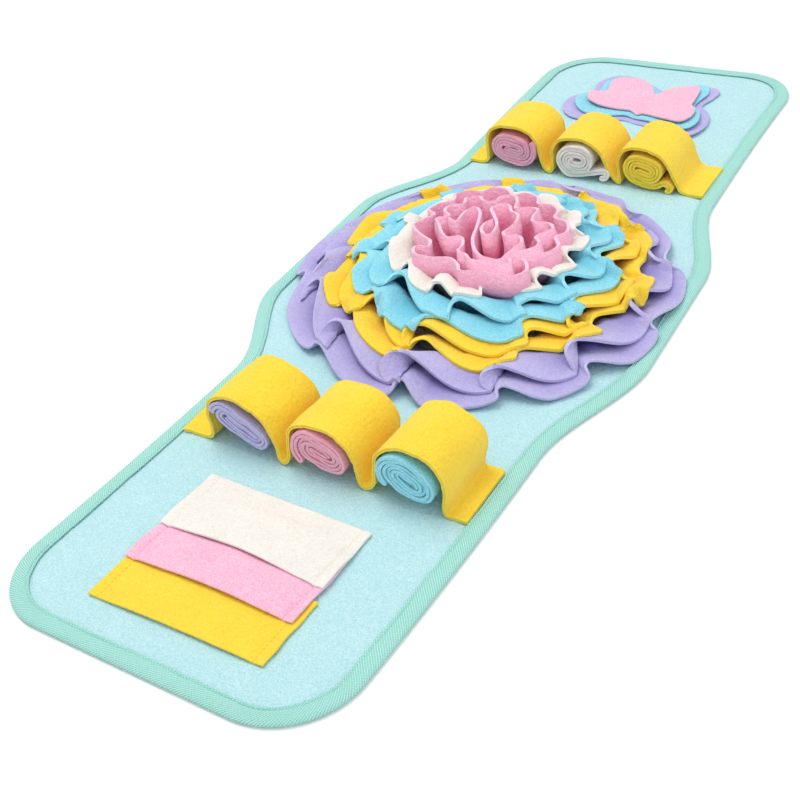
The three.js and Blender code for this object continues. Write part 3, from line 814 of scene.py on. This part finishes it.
# Each roll is a strip folded in half and wound as a pair of layers, in a long oval.
# half: its outer half width and half height; start: direction of the innermost end, in radians; tail: where
# the outer end wanders off, from the roll's middle; front: its nearer end along the mat.
rollCloth = dict(
    thickness=2.5, apart=2.85, pitch=5.95, core=0.65, length=59.0, columns=22, spacing=1.5, turnPoints=900,
    wobble=0.35, standOff=0.8, standOffTurn=0.9, flatness=1.06, roundness=0.12, clear=0.3,
    # dark and darkDepth: the strongest painted shade on a roll, and how far in from its front end it is
    # reached.
    telescope=2.0, endWander=0.9, dark=0.6, darkDepth=18.0,
)
rolls = dict(
    near_roll_lilac=dict(cloth="lilac", slot="lilac_fleece", x=-58.7, z=27.6, half=(27.5, 15.0), tilt=-0.5,
                         start=3.64, seed=51, front=-258.5),
    near_roll_pink=dict(cloth="rose", slot="pink_fleece", x=11.6, z=26.6, half=(25.2, 18.9), tilt=-0.3,
                        start=0.3, seed=52, front=-259.5),
    near_roll_blue=dict(cloth="blue", slot="blue_fleece", x=83.0, z=28.8, half=(25.2, 19.6), tilt=-0.5,
                        start=5.9, seed=53, front=-260.0),
    far_roll_rose=dict(cloth="rose", slot="rose_fleece", x=-61.8, z=24.6, half=(25.3, 18.3), tilt=-0.12,
                       start=3.64, seed=54, front=186.5),
    far_roll_white=dict(cloth="white", slot="white_fleece", x=5.0, z=22.6, half=(21.0, 17.6), tilt=0.05,
                        start=1.9, seed=55, front=186.5, tail=[[27, -9], [29, -14], [25, -16]]),
    far_roll_yellow=dict(cloth="yellow", slot="yellow_fleece", x=72.0, z=23.0, half=(22.5, 17.6), tilt=-0.2,
                         start=3.3, seed=56, front=186.5, tail=[[24, -6], [28, -9], [26, -12]]),
)


def buildRoll(node, roll):
    # The middle of the pair is a spiral round a short flat core; the strip runs out along one side of it,
    # turns back in a half circle at the outer end and returns along the other side.
    pair = (rollCloth["apart"] + rollCloth["thickness"]) / 2
    turns = (roll["half"][1] - pair - rollCloth["core"]) / rollCloth["pitch"]
    turn = np.linspace(0, turns * 2 * np.pi, rollCloth["turnPoints"])
    angle = turn + roll["start"]
    radius = rollCloth["core"] + rollCloth["pitch"] * turn / (2 * np.pi)
    radius = radius + rollCloth["wobble"] * np.sin(3 * angle + roll["seed"]) * radius / radius[-1]
    last = smoothStep((turn - turn[-1] + rollCloth["standOffTurn"]) / rollCloth["standOffTurn"])
    radius = radius + rollCloth["standOff"] * last      # the outer end stands off a little
    flatHalf = roll["half"][0] - roll["half"][1]
    sideways = np.cos(angle) / np.sqrt(np.cos(angle) ** 2 + rollCloth["roundness"])
    across = flatHalf * sideways * rollCloth["flatness"] + radius * np.cos(angle)
    middle = np.stack([across, radius * np.sin(angle)], 1)
    if "tail" in roll:
        middle = np.vstack([middle, smoothCurve([middle[-60], middle[-1], *roll["tail"]], 12)[13:]])
    drawn = np.linalg.norm(np.diff(middle, axis=0), axis=1).sum()
    middle, length = evenly(middle, int(drawn / rollCloth["spacing"]))
    along = np.gradient(middle, axis=0)
    along /= np.linalg.norm(along, axis=1)[:, None]
    normal = np.stack([-along[:, 1], along[:, 0]], 1)
    shift = normal * rollCloth["apart"] / 2
    bend = np.linspace(0, np.pi, 9)[1:-1, None]
    hook = middle[-1] + rollCloth["apart"] / 2 * (normal[-1] * np.cos(bend) + along[-1] * np.sin(bend))
    flat = np.vstack([middle + shift, hook, (middle - shift)[::-1]])
    c, s = math.cos(roll["tilt"]), math.sin(roll["tilt"])
    flat = flat @ np.array([[c, s], [-s, c]]) + [roll["x"], roll["z"]]
    flat[:, 1] = np.maximum(flat[:, 1], mat["top"] + rollCloth["thickness"] / 2 + rollCloth["clear"])
    share = np.linspace(0, 1, len(flat))
    v = np.linspace(0, 1, rollCloth["columns"])
    v = 0.5 - 0.5 * np.cos(np.pi * v)
    deep = 1 - np.abs(2 * share - 1)        # 0 at the core, 1 at the outer end
    telescope = rollCloth["telescope"] * (1 - deep) * np.sin(roll["seed"])
    telescope = telescope + rollCloth["endWander"] * wander(share, roll["seed"], 6)
    y = roll["front"] + v[None] * rollCloth["length"] + telescope[:, None] * (1 - v[None])
    x = np.broadcast_to(flat[:, :1], y.shape)
    z = np.broadcast_to(flat[:, 1:], y.shape)
    points = layOnMat(np.stack([x, y, z], -1))[:, ::-1]
    # Painted shade: the roll darkens away from its front end, further inside the loop.
    inward = smoothStep(v * rollCloth["length"] / rollCloth["darkDepth"])
    paintedShade = np.tile(rollCloth["dark"] * inward, (len(flat), 1))
    total = 2 * length + np.pi * rollCloth["apart"] / 2
    obj = gridObject(camelName(node), points, share * total, v * rollCloth["length"],
                     attributes=dict(paintedShade=paintedShade[:, ::-1]))
    thicken(obj, rollCloth["thickness"], rounding=0.7)
    finishPiece(obj, cloths[roll["cloth"]], roll["slot"], node)


for nodeName, roll in rolls.items():
    buildRoll(nodeName, roll)
print("rolls built")


# Flower.

flower = dict(
    x=6.0, y=8.0, thickness=2.7, columns=20, spacing=2.1, profilePoints=200, settle=1.2,
    gathers=40, gatherHeight=1.6, gatherAt=0.22, gatherSpread=0.2, ringWander=1.8,
)
# Each ring is one gathered strip.  profile: [distance from the middle, height] at its seam, its shoulder
# and its free edge; rise: height of a full fold; pull: how far a fold draws the edge in; reach: how much
# further out the ring goes on its fuller side; lean: how far a crest hangs over.
# folds: [direction where the edge turns back low down, direction of the crest], in degrees.
ruffles = dict(
    ruffle_purple_lower=dict(
        cloth="lilac", profile=[[124, 5], [143, 7], [168, 5.8]], rise=10, pull=13, reach=10, lean=3, seed=61,
        folds=[
            [222, 240], [262, 272], [281, 299], [313, 324], [338, 350], [371, 382], [404, 416], [434, 447],
            [466, 476], [492, 505], [524, 533], [551, 562],
        ],
    ),
    ruffle_purple_upper=dict(
        cloth="lilac", profile=[[110, 5], [131, 12], [156, 7]], rise=18, pull=20, reach=9, lean=7, seed=62,
        folds=[
            [216, 212], [245, 238], [272, 266], [296, 297], [318, 322], [346, 354], [374, 384], [402, 408],
            [432, 440], [460, 468], [490, 498], [520, 526], [550, 556],
        ],
    ),
    ruffle_yellow_lower=dict(
        cloth="yellow", profile=[[98, 5], [116, 15], [140, 9]], rise=14, pull=19, reach=3, lean=7, seed=63,
        folds=[
            [218, 229], [260, 270], [296, 307], [332, 337], [364, 374], [398, 406], [430, 440], [464, 473],
            [500, 508], [536, 548],
        ],
    ),
    ruffle_yellow_upper=dict(
        cloth="yellow", profile=[[86, 5], [102, 22], [127, 14]], rise=18, pull=20, reach=3, lean=8, seed=64,
        folds=[
            [226, 240], [268, 267], [303, 312], [333, 333], [360, 368], [390, 396], [420, 428], [452, 460],
            [485, 493], [518, 526], [552, 562],
        ],
    ),
    ruffle_blue_lower=dict(
        cloth="blue", profile=[[74, 5], [90, 27], [116, 20]], rise=13, pull=18, reach=2, lean=7, seed=65,
        folds=[
            [214, 230], [256, 272], [302, 313], [336, 338], [364, 373], [396, 404], [428, 436], [460, 468],
            [494, 503], [528, 538], [556, 564],
        ],
    ),
    ruffle_blue_upper=dict(
        cloth="blue", profile=[[62, 5], [78, 33], [102, 27]], rise=15, pull=17, reach=1, lean=8, seed=66,
        folds=[
            [219, 238], [278, 280], [310, 316], [339, 341], [362, 371], [392, 400], [424, 432], [456, 466],
            [490, 500], [524, 534], [552, 562],
        ],
    ),
    ruffle_white=dict(
        cloth="white", profile=[[50, 5], [66, 38], [84, 34]], rise=14, pull=13, reach=0, lean=4, seed=67,
        folds=[
            [216, 232], [256, 264], [286, 296], [322, 330], [348, 358], [380, 388], [408, 416], [436, 446],
            [468, 478], [500, 510], [530, 542],
        ],
    ),
)
fullerSide = math.radians(250)
piledCells = dict(turns=720, radii=92, size=2.0)
piled = np.zeros((piledCells["turns"], piledCells["radii"])) + mat["top"]


def foldedEdge(ruffle):
    # The free edge laid out flat: each fold climbs steeply to its crest, which may hang over, and runs
    # down slowly to the next turn; the line closes on itself after a full circle.
    rng = np.random.default_rng(ruffle["seed"])
    tip, crest = np.array(ruffle["folds"], float).T
    tall = rng.uniform(0.75, 1.15, len(tip))
    up, down = crest - tip, np.append(tip[1:], tip[0] + 360) - crest
    radius = ruffle["profile"][2][0]
    lean = np.degrees(ruffle["lean"] * rng.uniform(0.3, 1.7, len(tip)) / radius)
    steps = [(tip, 0.0), (tip + 0.65 * up, 0.13), (crest - 0.8 * lean, 0.5), (crest - 0.75 * lean, 0.86),
             (crest + 0.1 * down, 1.0), (crest + 0.36 * down, 0.78), (crest + 0.7 * down, 0.3)]
    points = np.stack([np.stack([np.radians(angle) * radius, share * tall * ruffle["rise"]], 1)
                       for angle, share in steps], 1).reshape(-1, 2)
    circle = np.array([2 * np.pi * radius, 0])
    curve = smoothCurve(np.vstack([points - circle, points, points + circle]), 10)
    curve = curve[len(points) * 10:len(points) * 20 + 1]
    length = np.linalg.norm(np.diff(curve, axis=0), axis=1).sum()
    line = evenly(curve, int(length / flower["spacing"]))[0][:-1]
    return line[:, 0] / radius, line[:, 1] / ruffle["rise"], length


def polarCells(x, y):
    turn = np.arctan2(y - flower["y"], x - flower["x"]) / (2 * np.pi) % 1.0
    radius = np.hypot(x - flower["x"], y - flower["y"]) / piledCells["size"]
    i = (turn * piledCells["turns"]).astype(int) % piledCells["turns"]
    j = np.clip(radius.astype(int), 0, piledCells["radii"] - 1)
    return i, j


def spreadOut(cells):                       # the highest of each cell's neighbours, then their mean
    for shift in (1, -1):
        cells = np.maximum(cells, np.roll(cells, shift, 0))
    wide = np.maximum(cells, np.maximum(np.roll(cells, 1, 1), np.roll(cells, -1, 1)))
    for repeat in range(2):
        wide = (np.roll(wide, 1, 0) + wide + np.roll(wide, -1, 0)) / 3
        wide[:, 1:-1] = (wide[:, :-2] + wide[:, 1:-1] + wide[:, 2:]) / 3
    return wide


def finishRuffle(node, colour, points, paintedShade, around, strip, closed):
    u = np.linspace(0, around, len(points) + (1 if closed else 0))
    obj = gridObject(camelName(node), points[:, ::-1], u, np.linspace(strip, 0, points.shape[1]), wrap=closed,
                     attributes=dict(paintedShade=np.broadcast_to(paintedShade, points.shape[:2])[:, ::-1]))
    thicken(obj, flower["thickness"], rounding=0.7)
    finishPiece(obj, cloths[colour], colour + "_fleece", node)


def buildRuffle(node, ruffle):
    # The seam runs evenly round; towards the free edge the cloth opens into its folds, and the whole ring
    # lies on whatever is already piled below it.
    global piled
    direction, rise, around = foldedEdge(ruffle)
    cloth = np.arange(len(direction)) / len(direction)
    seam = 2 * np.pi * cloth
    seam = seam + (direction - seam).mean()
    t = np.linspace(0, 1, flower["columns"])[None]
    profile = evenly(smoothCurve(ruffle["profile"], 20), flower["profilePoints"])[0]
    even = np.linspace(0, 1, len(profile))
    place = np.stack([np.interp(t[0], even, profile[:, k]) for k in (0, 1)], 1)
    opening = 0.35 * t + 0.65 * t ** 2
    turn = seam[:, None] * (1 - opening) + direction[:, None] * opening
    unevenness = flower["ringWander"] * wander(cloth, ruffle["seed"] + 100, 3)
    reach = ruffle["reach"] * np.cos(turn - fullerSide) + unevenness[:, None]
    drawn = np.clip(rise, 0, None)[:, None] ** 1.6       # round at the turns, where the rise is small
    radius = place[None, :, 0] + reach * t ** 2 - ruffle["pull"] * drawn * opening
    gather = np.sin(2 * np.pi * cloth * flower["gathers"] + 2 * wander(cloth, ruffle["seed"] + 50, 2))
    nearSeam = np.exp(-((t - flower["gatherAt"]) / flower["gatherSpread"]) ** 2)
    gather = gather[:, None] * nearSeam * flower["gatherHeight"]
    height = place[None, :, 1] + ruffle["rise"] * rise[:, None] * opening + gather
    x = flower["x"] + radius * np.cos(turn)
    y = flower["y"] + radius * np.sin(turn)
    i, j = polarCells(x, y)
    need = piled[i, j] + flower["thickness"] * 0.5
    inner = smoothStep(t / 0.3)
    height = height * (1 - inner) + (need + softMax(height - need, flower["settle"])) * inner
    np.maximum.at(piled, (i.ravel(), j.ravel()), (height + flower["thickness"] / 2).ravel())
    piled = spreadOut(piled)
    # Painted shade: darker towards the seam, where the ring above covers it, and in the low turns between
    # folds.
    paintedShade = np.clip(0.9 - 1.1 * t, 0, 1) * 0.9 + 0.45 * (1 - rise[:, None]) ** 2 * (1 - t ** 4)
    strip = np.linalg.norm(np.diff(profile, axis=0), axis=1).sum()
    points = layOnMat(np.stack([x, y, height], -1))
    finishRuffle(node, ruffle["cloth"], points, paintedShade, around, strip, True)


for nodeName, ruffle in ruffles.items():
    buildRuffle(nodeName, ruffle)
print("flower rings built")

# The pink middle stands up in close winding ribbons, drawn in plan from the flower's middle along their
# free edges.  wall: [share of the plan's size, shift towards the front, height] from the seam up to the
# free edge.
ribbons = dict(
    ruffle_pink_outer=dict(
        closed=True, seed=68, wall=[[0.6, 3, 5], [0.9, 6, 32], [1.0, 6, 45], [1.0, 0, 56]],
        line=[
            [-24, -56], [-8, -52], [4, -59], [10, -66], [22, -62], [37, -60], [50, -57], [58, -47],
            [54, -38], [48, -33], [54, -25], [64, -18], [68, -8], [61, 2], [66, 13], [60, 26], [48, 29],
            [46, 40], [36, 48], [25, 47], [19, 57], [6, 59], [-1, 52], [-11, 59], [-24, 58], [-30, 50],
            [-42, 49], [-51, 40], [-47, 29], [-56, 20], [-60, 8], [-51, 2], [-55, -9], [-59, -20],
            [-50, -28], [-40, -33], [-33, -37], [-31, -46], [-41, -47], [-38, -56],
        ],
    ),
    ruffle_pink_inner=dict(
        closed=True, seed=69, wall=[[0.5, 4, 5], [0.88, 9, 36], [1.0, 8, 49], [0.96, 0, 58.5]],
        line=[
            [-40, -13], [-31, -24], [-22, -30], [-12, -25], [-5, -35], [-4, -45], [5, -49], [13, -55],
            [27, -54], [40, -54], [46, -48], [40, -40], [45, -32], [54, -24], [56, -14], [49, -6], [54, 3],
            [56, 13], [47, 20], [36, 17], [32, 25], [31, 36], [22, 38], [12, 32], [9, 41], [3, 48],
            [-8, 46], [-10, 36], [-20, 33], [-28, 39], [-37, 33], [-34, 22], [-43, 17], [-45, 7], [-37, 0],
            [-46, -6],
        ],
    ),
    ruffle_pink_heart=dict(
        closed=False, seed=70, wall=[[0.45, 4, 5], [0.82, 8, 36], [0.96, 8, 50], [0.94, 0, 60]],
        line=[
            [-35, -5], [-26, -7], [-27, 11], [-22, 20], [-12, 11], [-6, -7], [-1, -24], [8, -40], [19, -50],
            [30, -52], [38, -51], [40, -41], [42, -28], [43, -18], [36, -11], [27, -15], [21, -10],
            [22, -2], [24, 9], [21, 19], [12, 24], [5, 34], [-4, 33], [-7, 23], [2, 11], [11, -2],
            [13, -16], [8, -20], [1, -12], [0, -1], [3, 5],
        ],
    ),
)
# dark: the strongest painted shade, at the foot of each ribbon wall.
ribbonCloth = dict(spacing=1.7, edgeWave=1.6, meanRadius=50.0, front=math.radians(306), dark=0.45)


def buildRibbon(node, ribbon):
    # Each level of the wall is the same winding line, larger or smaller about the middle.
    curve = smoothCurve(ribbon["line"], 10, closed=ribbon["closed"])
    if ribbon["closed"]:
        curve = np.vstack([curve, curve[:1]])
    around = np.linalg.norm(np.diff(curve, axis=0), axis=1).sum()
    line = evenly(curve, int(around / ribbonCloth["spacing"]))[0]
    if ribbon["closed"]:
        line = line[:-1]
    scaled = np.array(ribbon["wall"]) * [ribbonCloth["meanRadius"], 1, 1]
    wall, strip = evenly(smoothCurve(scaled, 20), flower["columns"])
    t = np.linspace(0, 1, len(wall))
    share = np.arange(len(line)) / len(line)
    wave = ribbonCloth["edgeWave"] * wander(share, ribbon["seed"], 2)[:, None] * t[None] ** 2
    front = np.array([math.cos(ribbonCloth["front"]), math.sin(ribbonCloth["front"])])
    flat = line[:, None, :] * wall[None, :, :1] / ribbonCloth["meanRadius"] + front * wall[None, :, 1:2]
    height = wall[None, :, 2] + wave
    points = layOnMat(np.concatenate([flat + [flower["x"], flower["y"]], height[..., None]], -1))
    # Painted shade: darker towards the foot of the wall, fading near the free edge.
    paintedShade = np.clip(1.6 * (1 - t) ** 1.1, 0, ribbonCloth["dark"])[None]
    finishRuffle(node, "pink", points, paintedShade, around, strip, ribbon["closed"])


for nodeName, ribbon in ribbons.items():
    buildRibbon(nodeName, ribbon)
print("flower built")


# Butterfly.

butterfly = dict(
    x=10.0, y=346.0, turn=-0.07, thickness=1.7, rings=26, points=240, sunk=0.6,
    crease=1.6, creaseWidth=5, topLevel=5.2, reach=60, wave=0.9, waveSize=60,
)
# Outlines from the notch between the upper wings, clockwise.
wings = dict(
    purple=dict(cloth="lilac", slot="lilac_fleece", level=0.9, lift=2.2, seed=81, outline=[
        [-4, 37], [12, 46], [36, 58], [52, 53], [54, 38], [51, 16], [66, 0], [74, -22], [69, -47],
        [48, -49], [20, -41], [4, -39], [-12, -37], [-34, -50], [-62, -50], [-79, -35], [-82, -14],
        [-68, 6], [-72, 28], [-62, 48], [-40, 54], [-18, 45],
    ]),
    blue=dict(cloth="blue", slot="blue_fleece", level=3.0, lift=3.2, seed=82, outline=[
        [-3, 30], [10, 41], [26, 54], [38, 55], [46, 40], [46, 11], [58, -4], [66, -25], [62, -42],
        [42, -41], [20, -35], [4, -33], [-12, -31], [-32, -42], [-54, -40], [-69, -27], [-71, -12],
        [-59, 4], [-63, 26], [-55, 40], [-35, 47], [-17, 40],
    ]),
    pink=dict(cloth="pink", slot="pink_fleece", level=5.2, lift=5.0, seed=83, outline=[
        [-2, 19], [5, 32], [19, 41], [31, 45], [38, 37], [44, 14], [47, 1], [55, -9], [58, -24], [52, -36],
        [36, -33], [22, -29], [8, -26], [2, -28], [-8, -24], [-24, -27], [-42, -28], [-57, -22], [-61, -8],
        [-49, 2], [-53, 20], [-48, 34], [-31, 41], [-14, 33],
    ]),
)


def buildWings(colour, layer):
    # Rings from the outline shrink to the middle; wings rise gently away from a crease down the body line
    # with a soft wave.
    outline = smoothCurve(layer["outline"], 12, closed=True)
    outline = evenly(np.vstack([outline, outline[:1]]), butterfly["points"] + 1)[0][:-1]
    share = np.linspace(0, 1, butterfly["rings"])[1:]
    flat = outline[:, None] * share[None, :, None]
    x, y = flat[..., 0], flat[..., 1]
    out = np.abs(x) / butterfly["reach"]
    wave = butterfly["wave"] * lumps(x, y, layer["seed"], butterfly["waveSize"]) * smoothStep(out)
    crease = butterfly["crease"] * (1 - np.exp(-(x / butterfly["creaseWidth"]) ** 2))
    level = layer["level"] - butterfly["sunk"] + crease * layer["level"] / butterfly["topLevel"]
    z = mat["top"] + level + layer["lift"] * out ** 1.6 + wave
    c, s = math.cos(butterfly["turn"]), math.sin(butterfly["turn"])
    place = np.stack([c * x - s * y + butterfly["x"], s * x + c * y + butterfly["y"], z], -1)
    points = layOnMat(place)
    rows, columns = points.shape[:2]
    faces = gridFaces(rows, columns, wrap=True)
    centre = points[:, 0].mean(axis=0)
    i = np.arange(rows)
    fan = np.stack([((i + 1) % rows) * columns, i * columns, np.full(rows, rows * columns)], 1)
    obj = addObject(camelName("butterfly_" + colour), np.vstack([points.reshape(-1, 3), centre[None]]),
                    faces.tolist() + fan.tolist())
    thicken(obj, butterfly["thickness"], rounding=0.4)
    finishPiece(obj, cloths[layer["cloth"]], layer["slot"], "butterfly_" + colour)


for colourName, layer in wings.items():
    buildWings(colourName, layer)
print("butterfly built")
